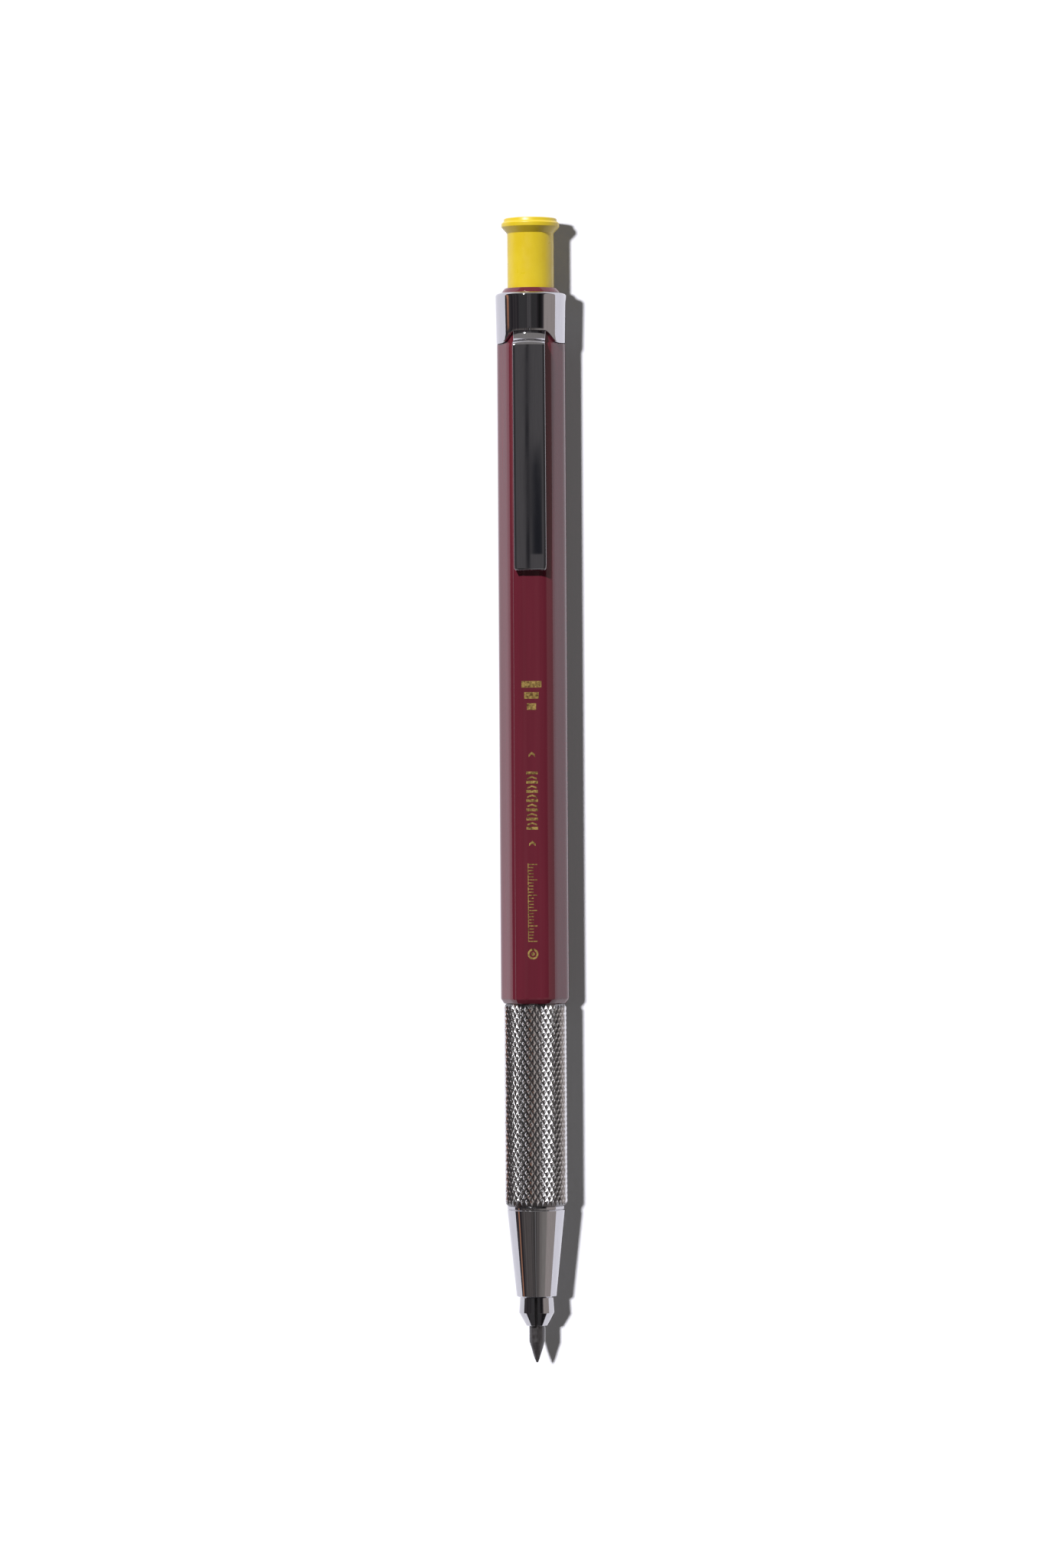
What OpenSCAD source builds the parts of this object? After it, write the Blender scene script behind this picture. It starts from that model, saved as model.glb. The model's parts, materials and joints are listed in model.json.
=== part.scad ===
// Push-button clutch pencil for 2 mm leads, lying clip up.
// The pencil's axis runs along Y with the lead point at -Y and the button at +Y.
// Stations along the pencil ("at") are distances from the lead point, in millimetres.

/* [Pencil] */
// Overall length, lead point to button top
total_len = 149.8; // [149.8:0.1:151]
// Length that the lead point stands out of the clutch
lead_stickout = 4.85; // [4.2:0.05:5.2]
// Diameter of the lead
lead_d = 2.0; // [1.9:0.05:2.0]
// Travel of the push button
push_travel = 5; // [4:0.5:5]

/* [Barrel] */
// Distance across the flats of the barrel's hexagon
barrel_af = 8.4; // [8.3:0.05:8.5]
// Rounding radius of the hexagon's corners
barrel_corner_r = 2.5; // [2:0.1:3]
// Station of the barrel's front end
barrel_at = 46.95; // [46.5:0.05:47.5]

/* [Grip and nose] */
// Diameter over the grip
grip_d = 8.15; // [8:0.05:8.3]
// Length of the grip
grip_len = 26.4; // [25:0.1:27]
// Largest diameter of the nose cone
nose_d = 7.6; // [7.4:0.05:7.7]
// Diameter of the nose cone's mouth
mouth_d = 4.54; // [4.5:0.01:4.6]
// Station of the nose cone's mouth
mouth_at = 8.55; // [8.5:0.01:8.6]

/* [Tail] */
// Station of the ferrule's lower edge
ferrule_at = 133.15; // [133:0.05:133.3]
// Diameter of the ferrule at its lower edge
ferrule_low_d = 9.03; // [9:0.01:9.1]
// Diameter of the ferrule at its top
ferrule_top_d = 9.27; // [9.2:0.01:9.3]
// Diameter of the button's stem
stem_d = 6.06; // [6:0.01:6.1]
// Diameter of the button's head
head_d = 7.58; // [7.4:0.02:7.8]

/* [Clip] */
// Width of the clip
clip_w = 4.2; // [4:0.05:4.3]
// Thickness of the clip's sheet
clip_t = 0.36; // [0.3:0.02:0.4]
// Station of the clip's free end
clip_end_at = 103.4; // [102:0.1:105]

/* [Hidden] */

$fn = 96;
eps = 0.01;
run_gap = 0.05;
// Overshoot of a cut past the face that it opens
overcut = 1;
axis_h = ferrule_top_d / 2;
maroon = "#63252f";
yellow = "#e0c838";
brass = "#b5964a";
steel = "#a9acb0";
chrome = "#d5d7dc";
graphite = "#3c3c40";

// Button
stem_r = stem_d / 2;
stem_at = 133;
head_r = head_d / 2;
head_under_at = 147.6;
head_at = 148.47;
head_land_at = 148.9;
head_step_r = 3.55;
head_step_at = 149.05;
head_top_r = 3.35;
head_top_at = 149.5;
head_dome_in = 0.9;
head_hole_r = 1.25;
button_bore_r = 2.45;
button_bore_end = 149;
core_r = button_bore_r - 0.03;
core_at = 134;
core_end = 141.6;
core_slit_w = 0.5;
core_slit_at = core_at + 2;
pointer_at = 142;
pointer_end = button_bore_end;
pointer_throat_r = 0.2;
pointer_throat_at = 143.2;
pointer_mouth_r = 1.15;
pointer_slot_w = 0.32;
blade_at = 143.4;
blade_end = 148.6;
blade_edge = 0.08;
blade_out = 2.2;

// Tail
tail_bush_at = stem_at - push_travel;
tail_bush_r = 3.6;
collar_base_r = 3.88;
collar_shoulder_at = 139.85;
collar_top_r = 3.45;
collar_top_at = 140.4;
ferrule_roll_at = 139.45;
ferrule_end = 139.8;
ferrule_lip_r = 3.95;
ferrule_hole_r = collar_base_r + 0.02;

// Lead
lead_len = 130;
lead_r = lead_d / 2;
lead_point_len = 2.75;
lead_point_r = 0.13;

// Clutch: the jaws stand out of the nose cone and hinge on the collet base
jaw_at = lead_stickout;
jaw_tip_r = 1.4;
jaw_head_at = 6.58;
jaw_head_r = 2.345;
jaw_mouth_r = 2.2;
jaw_land_at = 10;
jaw_land_r = 2.09;
jaw_stem_at = 12;
jaw_stem_r = 1.65;
jaw_root_at = 25;
jaw_bore_r = lead_r + 0.03;
jaw_slit = 0.36;
jaw_gap = 0.03;
collet_base_at = jaw_root_at + jaw_gap;
collet_base_r = 2.0;
collet_bore_r = jaw_bore_r + 0.1;
collet_base_end = 31;

// Lead tube and spring
tube_r = 1.6;
tube_bore_r = 1.2;
tube_at = 27;
tube_end = 141;
collar_r = 2.4;
collar_w = 2;
spring_wire_r = 0.18;
spring_mean_r = 2.0;
spring_turns = 12;
spring_steps = 12;
spring_sides = 6;
spring_at = 50.85;
spring_end = 72;
washer_t = 0.85;
washer_r = 2.55;
washer_bore_r = tube_r + 0.12;

// Front bush: front half in the grip, rear half in the barrel
bush_r = 3.1;
bush_at = 34;
bush_end = 60;
bush_guide_r = tube_r + 0.1;
bush_pocket_at = spring_at - washer_t;
bush_pocket_r = 2.56;
barrel_bore_r = 2.75;
barrel_tail_bore_r = 3.6;
barrel_tail_bore_at = tail_bush_at - 2;
barrel_end = 139.3;
barrel_chamfer = 1;
barrel_chamfer_drop = 0.5;
spigot_r = 4.05;

// Grip, ring and nose
grip_r = grip_d / 2;
grip_at = barrel_at - grip_len;
grip_edge = 0.3;
grip_front_bore_r = 2.9;
ring_r = 3.77;
ring_w = 0.5;
ring_shift = 0.04;
nose_end = grip_at - ring_w;
nose_r = nose_d / 2;
mouth_r = mouth_d / 2;
mouth_face_r = 2.65;
mouth_face_at = 8.9;
mouth_land_at = jaw_land_at;
nose_bore_at = 11.2;
nose_bore_r = 2.45;
nose_thread_r = grip_front_bore_r;
nose_thread_end = 29;
lock_ring_w = 1.5;
lock_ring_r = grip_front_bore_r;

// Clip outline: root on the ferrule, rise, then the straight arm
clip_root_at = 134.6;
clip_root_r = ferrule_low_d / 2 + 0.025;
clip_root_end = 133.4;
clip_root_top_h = clip_root_r - 0.1;
clip_knee_at = 133.9;
clip_knee_h = clip_root_r + 0.25;
clip_knee_in_at = 133.55;
clip_knee_in_h = clip_root_r + 0.1 - clip_t / 2;
clip_rise_at = 132.9;
clip_rise_h = 5.88;
clip_crest_at = 131.7;
clip_crest_h = 5.9;
clip_crest_in_at = 131.9;
clip_end_h = 5.15;
clip_tip_bend_at = 105.4;
clip_tip_h = 5.24;
clip_rim_gap = 0.12;
clip_rim_t = 0.42;
clip_rim_from = 131;
clip_rim_start_h = clip_rise_h - clip_t - 0.6;
clip_rim_low_h = barrel_af / 2 + clip_rim_gap;
notch_w = 2.9;
notch_root_w = clip_w / 2 + 0.03;
notch_edge_at = ferrule_at + 0.1;
notch_turn = 0.65;
notch_end = clip_root_at + jaw_gap;
notch_floor_h = 2;

// Stands a shape that was built along its own +Z on the pencil's axis.
module on_axis() {
    translate([0, -total_len / 2, axis_h]) rotate([-90, 0, 0]) children();
}

// Turned piece from an outline of [station, radius] points.
module turned(outline) {
    rotate_extrude() polygon([for (p = outline) [p[1], p[0]]]);
}

// Plain tube between two stations.
module tube(from, to, outer, inner) {
    turned([[from, inner], [from, outer], [to, outer], [to, inner]]);
}

// Straight drill along the axis.
module drill(from, to, r) {
    translate([0, 0, from]) cylinder(h = to - from, r = r);
}

// Shape extruded across the pencil from an outline of [station, height over the axis] points.
module across(width, outline) {
    translate([-width / 2, -total_len / 2, axis_h])
        rotate([90, 0, 90]) linear_extrude(height = width) polygon(outline);
}

// Hexagon with flats facing up and down and very round corners.
module barrel_section() {
    corner_at = (barrel_af / 2 - barrel_corner_r) / cos(30);
    hull() for (i = [0 : 5]) rotate(60 * i) translate([corner_at, 0]) circle(r = barrel_corner_r);
}

module barrel_outside() {
    translate([0, 0, barrel_at + barrel_chamfer])
        linear_extrude(height = ferrule_at - barrel_at - barrel_chamfer) barrel_section();
    intersection() {
        translate([0, 0, barrel_at]) linear_extrude(height = barrel_chamfer) barrel_section();
        turned([
            [barrel_at, 0], [barrel_at, barrel_af / 2 - barrel_chamfer_drop / 2],
            [barrel_at + barrel_chamfer, barrel_af / 2 + barrel_chamfer_drop],
            [barrel_at + barrel_chamfer, 0]]);
    }
    translate([0, 0, ferrule_at]) cylinder(h = barrel_end - ferrule_at, r = spigot_r);
}

module barrel() {
    color(maroon) on_axis() difference() {
        barrel_outside();
        drill(barrel_at - overcut, bush_end, bush_r);
        drill(barrel_at - overcut, barrel_end + overcut, barrel_bore_r);
        drill(barrel_tail_bore_at, barrel_end + overcut, barrel_tail_bore_r);
    }
}

module tail_bush() {
    bore_r = stem_r + run_gap;
    color(maroon) on_axis() turned([
        [tail_bush_at, bore_r], [tail_bush_at, tail_bush_r], [barrel_end, tail_bush_r],
        [barrel_end, collar_base_r], [collar_shoulder_at, collar_base_r],
        [collar_top_at, collar_top_r], [collar_top_at, bore_r]]);
}

// Outline of the cut that frees the clip's root, seen from above: wide at the ferrule's edge and
// curving in to the clip's own width.
module notch_outline() {
    flare = notch_w - notch_root_w;
    side = concat(
        [[notch_w, ferrule_at - overcut]],
        [for (a = [0 : 15 : 90]) [
            notch_root_w + flare * (1 - sin(a)), notch_edge_at + notch_turn * (1 - cos(a))]],
        [[notch_root_w, notch_end]]);
    for (mirrored = [0, 1]) mirror([mirrored, 0])
        polygon(concat([[0, ferrule_at - overcut]], side, [[0, notch_end]]));
}

module ferrule() {
    color(chrome) difference() {
        on_axis() turned([
            [ferrule_at, spigot_r], [ferrule_at, ferrule_low_d / 2],
            [ferrule_roll_at, ferrule_top_d / 2], [ferrule_end, ferrule_lip_r],
            [ferrule_end, ferrule_hole_r], [barrel_end, ferrule_hole_r], [barrel_end, spigot_r]]);
        translate([0, -total_len / 2, axis_h + notch_floor_h])
            linear_extrude(height = ferrule_top_d / 2) notch_outline();
    }
}

module clip_sheet() {
    across(clip_w, [
        [clip_root_at, clip_root_r - clip_t], [clip_root_at, clip_root_top_h],
        [clip_knee_at, clip_knee_h], [clip_rise_at, clip_rise_h], [clip_crest_at, clip_crest_h],
        [clip_tip_bend_at, clip_end_h], [clip_end_at, clip_tip_h],
        [clip_end_at, clip_tip_h - clip_t], [clip_tip_bend_at, clip_end_h - clip_t],
        [clip_crest_in_at, clip_rise_h - clip_t], [clip_knee_in_at, clip_knee_in_h]]);
}

// The clip's root: a strip of the ferrule's own wall.
module clip_root() {
    intersection() {
        on_axis() tube(clip_root_end, clip_root_at, clip_root_r, clip_root_r - clip_t);
        translate([-clip_w / 2, -total_len / 2, axis_h]) cube([clip_w, total_len, ferrule_top_d]);
    }
}

module clip_rim(side) {
    translate([side * (clip_w - clip_rim_t) / 2, 0, 0]) across(clip_rim_t, [
        [clip_rim_from, clip_rise_h - clip_t], [clip_tip_bend_at, clip_end_h - clip_t + eps],
        [clip_end_at, clip_tip_h - clip_t], [clip_end_at, clip_rim_low_h],
        [clip_tip_bend_at, clip_rim_low_h], [clip_rim_from, clip_rim_start_h]]);
}

module clip_arm() {
    color(chrome) {
        clip_root();
        clip_sheet();
        clip_rim(1);
        clip_rim(-1);
    }
}

module push_button() {
    color(yellow) on_axis() turned(concat(
        [[stem_at, button_bore_r], [stem_at, stem_r], [head_under_at, stem_r], [head_at, head_r],
            [head_land_at, head_r], [head_step_at, head_step_r], [head_top_at, head_top_r]],
        [for (a = [15 : 15 : 90]) [
            head_top_at + (total_len - head_top_at) * sin(a),
            head_top_r - head_dome_in * (1 - cos(a))]],
        [[total_len, head_hole_r], [button_bore_end, head_hole_r],
            [button_bore_end, button_bore_r]]));
}

module button_core() {
    color(brass) on_axis() difference() {
        tube(core_at, core_end, core_r, tube_r);
        translate([-core_slit_w / 2, -core_r - overcut, core_slit_at])
            cube([core_slit_w, 2 * (core_r + overcut), core_end]);
    }
}

module pointer_cone() {
    color(steel) on_axis() difference() {
        turned([
            [pointer_at, 0], [pointer_at, button_bore_r], [pointer_end, button_bore_r],
            [pointer_end, pointer_mouth_r], [pointer_throat_at, pointer_throat_r],
            [pointer_throat_at, 0]]);
        translate([0, -pointer_slot_w / 2, blade_at]) cube([blade_out, pointer_slot_w, pointer_end]);
    }
}

// Radius of the pointer's conical hole at a station.
function pointer_r(at) = pointer_throat_r
    + (pointer_mouth_r - pointer_throat_r) * (at - pointer_throat_at) / (pointer_end - pointer_throat_at);

module pointer_blade() {
    color(chrome) on_axis() rotate([90, 0, 0]) translate([0, 0, -pointer_slot_w / 2])
        linear_extrude(height = pointer_slot_w) polygon([
            [pointer_r(blade_at) - blade_edge, blade_at], [blade_out, blade_at],
            [blade_out, blade_end], [pointer_r(blade_end) - blade_edge, blade_end]]);
}

module lead_tube() {
    color(brass) on_axis() tube(tube_at, tube_end, tube_r, tube_bore_r);
}

module tube_collar() {
    color(brass) on_axis() tube(spring_end, spring_end + collar_w, collar_r, tube_r);
}

// Point on the wire's surface: step along the coil, side around the wire.
function coil_point(step, side) =
    let (
        turn = 360 * step / spring_steps,
        wire = 360 * side / spring_sides,
        r = spring_mean_r + spring_wire_r * cos(wire),
        rise = (spring_end - spring_at - 2 * spring_wire_r) * step / (spring_turns * spring_steps))
    [r * cos(turn), r * sin(turn), spring_at + spring_wire_r + rise + spring_wire_r * sin(wire)];

module return_spring() {
    rings = spring_turns * spring_steps;
    last = rings * spring_sides;
    points = [for (i = [0 : rings]) for (j = [0 : spring_sides - 1]) coil_point(i, j)];
    walls = [for (i = [0 : rings - 1]) for (j = [0 : spring_sides - 1])
        let (k = (j + 1) % spring_sides, a = i * spring_sides, b = a + spring_sides)
        each [[a + j, b + j, b + k], [a + j, b + k, a + k]]];
    ends = [[for (j = [0 : spring_sides - 1]) j], [for (j = [spring_sides - 1 : -1 : 0]) last + j]];
    color(steel) on_axis() polyhedron(points = points, faces = concat(walls, ends));
}

module spring_washer() {
    color(steel) on_axis() tube(bush_pocket_at, spring_at, washer_r, washer_bore_r);
}

module front_bush() {
    color(brass) on_axis() difference() {
        drill(bush_at, bush_end, bush_r);
        drill(bush_at - overcut, bush_end, bush_guide_r);
        drill(bush_pocket_at, bush_end + overcut, bush_pocket_r);
    }
}

module grip_sleeve() {
    color(steel) on_axis() difference() {
        turned([
            [grip_at, 0], [grip_at, grip_r - grip_edge], [grip_at + grip_edge, grip_r],
            [barrel_at - grip_edge / 2, grip_r], [barrel_at, grip_r - grip_edge / 2],
            [barrel_at, 0]]);
        drill(grip_at - overcut, barrel_at, grip_front_bore_r);
        drill(bush_at, barrel_at + overcut, bush_r);
    }
}

module lock_ring() {
    color(brass) on_axis() tube(nose_thread_end, nose_thread_end + lock_ring_w, lock_ring_r, nose_bore_r);
}

module nose_ring() {
    color(chrome) on_axis() difference() {
        translate([-ring_shift, 0, nose_end]) cylinder(h = ring_w, r = ring_r);
        drill(nose_end - overcut, grip_at + overcut, nose_thread_r + eps);
    }
}

module nose_cone() {
    color(chrome) on_axis() turned([
        [mouth_at, mouth_r], [mouth_face_at, mouth_face_r], [nose_end, nose_r],
        [nose_end, nose_thread_r], [nose_thread_end, nose_thread_r],
        [nose_thread_end, nose_bore_r], [nose_bore_at, nose_bore_r],
        [mouth_land_at, jaw_land_r + run_gap]]);
}

module collet_base() {
    color(brass) on_axis() turned([
        [collet_base_at, collet_bore_r], [collet_base_at, collet_base_r],
        [collet_base_end, collet_base_r], [collet_base_end, tube_r], [tube_at, tube_r],
        [tube_at, collet_bore_r]]);
}

// One third of the slit collet; middle is the direction of the jaw's middle, in degrees
// counted from +X towards the pencil's underside.
module jaw(middle) {
    reach = 8;
    color(chrome) on_axis() rotate(middle) intersection() {
        turned([
            [jaw_at, jaw_bore_r], [jaw_at, jaw_tip_r], [jaw_head_at, jaw_head_r],
            [mouth_at, jaw_mouth_r], [jaw_land_at, jaw_land_r], [jaw_stem_at, jaw_stem_r],
            [jaw_root_at, jaw_stem_r], [jaw_root_at, jaw_bore_r]]);
        translate([jaw_slit / 2 / sin(60), 0, 0]) linear_extrude(height = jaw_root_at)
            polygon([[0, 0], for (a = [60, 0, -60]) reach * [cos(a), sin(a)]]);
    }
}

module jaw_right() {
    jaw(-30);
}

module jaw_left() {
    jaw(-150);
}

module jaw_lower() {
    jaw(90);
}

module lead() {
    color(graphite) on_axis() turned(concat(
        [[0, 0]],
        [for (a = [30 : 20 : 90]) [lead_point_r * (1 - cos(a)), lead_point_r * sin(a)]],
        [[lead_point_len, lead_r], [lead_len, lead_r], [lead_len, 0]]));
}

barrel();
tail_bush();
ferrule();
clip_arm();
push_button();
button_core();
pointer_cone();
pointer_blade();
lead_tube();
tube_collar();
return_spring();
spring_washer();
front_bush();
grip_sleeve();
lock_ring();
nose_ring();
nose_cone();
collet_base();
jaw_right();
jaw_left();
jaw_lower();
lead();
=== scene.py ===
"""Looks of a push-button clutch pencil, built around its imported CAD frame.

Shapes are laid out in pencil coordinates, in millimetres: x across, "at" the distance from the lead
point along the pencil, and h the height over the pencil's axis. world() turns them into the frame.
"""
import json
import math

import bmesh
import bpy
from mathutils import Matrix, Vector

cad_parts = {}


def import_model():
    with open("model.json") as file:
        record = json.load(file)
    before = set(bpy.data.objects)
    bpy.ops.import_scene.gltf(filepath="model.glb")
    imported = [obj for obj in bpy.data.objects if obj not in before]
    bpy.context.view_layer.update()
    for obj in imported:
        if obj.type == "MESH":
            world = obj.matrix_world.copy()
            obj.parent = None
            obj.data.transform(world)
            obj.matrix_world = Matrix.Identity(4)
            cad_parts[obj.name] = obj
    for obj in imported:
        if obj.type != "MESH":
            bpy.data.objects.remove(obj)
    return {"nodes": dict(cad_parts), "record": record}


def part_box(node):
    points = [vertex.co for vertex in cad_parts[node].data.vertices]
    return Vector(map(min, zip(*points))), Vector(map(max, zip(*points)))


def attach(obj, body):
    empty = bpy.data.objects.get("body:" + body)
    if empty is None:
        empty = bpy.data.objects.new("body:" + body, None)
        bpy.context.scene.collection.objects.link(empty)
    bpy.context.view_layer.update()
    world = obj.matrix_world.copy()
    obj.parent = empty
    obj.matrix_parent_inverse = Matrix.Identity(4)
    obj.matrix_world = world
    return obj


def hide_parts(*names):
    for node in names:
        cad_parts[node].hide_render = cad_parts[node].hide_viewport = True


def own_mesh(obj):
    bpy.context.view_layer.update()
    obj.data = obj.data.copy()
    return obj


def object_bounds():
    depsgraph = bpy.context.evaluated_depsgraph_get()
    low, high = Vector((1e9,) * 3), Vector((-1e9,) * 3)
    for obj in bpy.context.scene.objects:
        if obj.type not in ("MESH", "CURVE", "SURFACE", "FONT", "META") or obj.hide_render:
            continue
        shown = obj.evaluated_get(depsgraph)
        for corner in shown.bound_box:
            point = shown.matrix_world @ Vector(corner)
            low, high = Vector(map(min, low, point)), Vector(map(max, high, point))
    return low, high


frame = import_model()
cad_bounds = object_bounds()

MM = 0.001
TURN = 2 * math.pi
LEAD_LOW, LEAD_HIGH = (Vector(corner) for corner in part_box("lead"))
POINT_Y = LEAD_LOW.y
AXIS_Z = (LEAD_LOW.z + LEAD_HIGH.z) / 2


def world(x, at, h):
    """Pencil coordinates in millimetres to the row frame in metres."""
    return Vector((x * MM, POINT_Y + at * MM, AXIS_Z + h * MM))


def span(node):
    """First and last station of a CAD node, in millimetres from the lead point."""
    low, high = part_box(node)
    return (low[1] - POINT_Y) / MM, (high[1] - POINT_Y) / MM


def radius(node):
    """Half of a CAD node's width, in millimetres."""
    low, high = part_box(node)
    return (high[0] - low[0]) / 2 / MM


# ---------------------------------------------------------------- driving sizes, in millimetres

BARREL_FROM, BARREL_END = span("barrel")
FERRULE_FROM, FERRULE_END = span("ferrule")
GRIP_FROM, GRIP_TO = span("grip_sleeve")
NOSE_FROM, _ = span("nose_cone")
BUTTON_FROM, BUTTON_TOP = span("push_button")
_, CLIP_ROOT = span("clip_arm")
JAW_FROM, JAW_ROOT = span("jaw_lower")
GRIP_R = radius("grip_sleeve")
FERRULE_R = radius("ferrule")
CLIP_HALF = radius("clip_arm")
BUTTON_R = radius("push_button")
LEAD_R = radius("lead")

BARREL_FLAT = 4.2
CORNER_R = 2.5
SPIGOT_R = 4.05
FACE_HALF = (BARREL_FLAT - CORNER_R) * math.tan(TURN / 12)

# What slides has this much room all round.
RUN_GAP = 0.05

# Bores of the barrel, from its front end to its tail.
FRONT_BORE_R, FRONT_BORE_TO = 3.1, 60
MAIN_BORE_R = 2.75
TAIL_BORE_R, TAIL_BORE_FROM = 3.6, 126

# The tail bush's collar stands on the end of the barrel and comes out through the ferrule.
BUSH_FROM, BUSH_TO = 128, 140.4
COLLAR_FROM = 139.3

# Length of the loose ring between the grip and the nose cone.
RING_LONG = 0.5

KNURL_STARTS = 36
KNURL_ROW = 1.245
KNURL_DEPTH = 0.178
# Every stud is a low pyramid with an eased top: (share of its width, depth below the sleeve's radius).
KNURL_STEPS = ((0.3, 0.022), (0.1, 0.0))
# The sleeve's ends are rounded off over this length, by this much, down to a narrow chamfer.
GRIP_ROUND = 0.26
GRIP_DROP = 0.12
GRIP_FRONT_EDGE, GRIP_BACK_EDGE = 0.06, 0.05
# The bore of the sleeve widens at a step, for the front bush.
GRIP_STEP_AT = 34
GRIP_FRONT_BORE_R, GRIP_BACK_BORE_R = 2.9, 3.1


# ---------------------------------------------------------------- mesh helpers

def finish_mesh(name, verts, faces, body, nodes, material, crease):
    """Makes a piece from points in the row frame: smooth shaded, with edges over crease degrees sharp."""
    mesh = bpy.data.meshes.new(name)
    mesh.from_pydata(verts, [], faces)
    work = bmesh.new()
    work.from_mesh(mesh)
    bmesh.ops.remove_doubles(work, verts=work.verts, dist=1e-7)
    bmesh.ops.recalc_face_normals(work, faces=work.faces)
    for face in work.faces:
        face.smooth = True
    for edge in work.edges:
        if len(edge.link_faces) == 2:
            edge.smooth = edge.calc_face_angle(0) < math.radians(crease)
    work.to_mesh(mesh)
    work.free()
    piece = bpy.data.objects.new(name, mesh)
    bpy.context.scene.collection.objects.link(piece)
    mesh.materials.append(material)
    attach(piece, body)
    if nodes:
        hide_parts(*nodes)
    return piece


def loft(columns, closed=True, first=0):
    """Faces between neighbouring loops of points. Open lofts get an end face on both ends."""
    count = len(columns[0])
    faces = []
    pairs = len(columns) if closed else len(columns) - 1
    for i in range(pairs):
        a, b = first + i * count, first + (i + 1) % len(columns) * count
        for j in range(count):
            k = (j + 1) % count
            faces.append((a + j, b + j, b + k, a + k))
    if not closed:
        faces.append(tuple(first + j for j in range(count)))
        faces.append(tuple(first + (len(columns) - 1) * count + j for j in reversed(range(count))))
    return faces


def rounded(corners, steps=5):
    """Closed outline with its corners rounded. Each corner is (at, r) or (at, r, rounding radius)."""
    out = []
    total = len(corners)
    for i, corner in enumerate(corners):
        here = Vector(corner[:2])
        if len(corner) < 3 or corner[2] <= 0:
            out.append(tuple(here))
            continue
        before = Vector(corners[i - 1][:2]) - here
        after = Vector(corners[(i + 1) % total][:2]) - here
        half = before.angle(after) / 2
        cut = min(corner[2] / math.tan(half), before.length * 0.49, after.length * 0.49)
        start, stop = here + before.normalized() * cut, here + after.normalized() * cut
        for step in range(steps + 1):
            t = step / steps
            out.append(tuple(start.lerp(here, t).lerp(here.lerp(stop, t), t)))
    return out


def around(outline, angle, shift=0.0):
    """The outline's points on the half plane at an angle from straight up, towards +X."""
    return [world(r * math.sin(angle) + shift, at, r * math.cos(angle)) for at, r in outline]


def lofted(name, columns, body, nodes, slot, closed=True, crease=38):
    """Piece through neighbouring loops of points, in the material of its slot."""
    verts = [point for column in columns for point in column]
    return finish_mesh(name, verts, loft(columns, closed), body, nodes, MATERIALS[slot], crease)


def turned(name, corners, body, nodes, slot, steps=128, shift=0.0, crease=38, rounding=5):
    """Lathe-turned piece from a closed outline of corners."""
    outline = rounded(corners, rounding)
    columns = [around(outline, TURN * i / steps, shift) for i in range(steps)]
    return lofted(name, columns, body, nodes, slot, crease=crease)


# ---------------------------------------------------------------- materials

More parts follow.
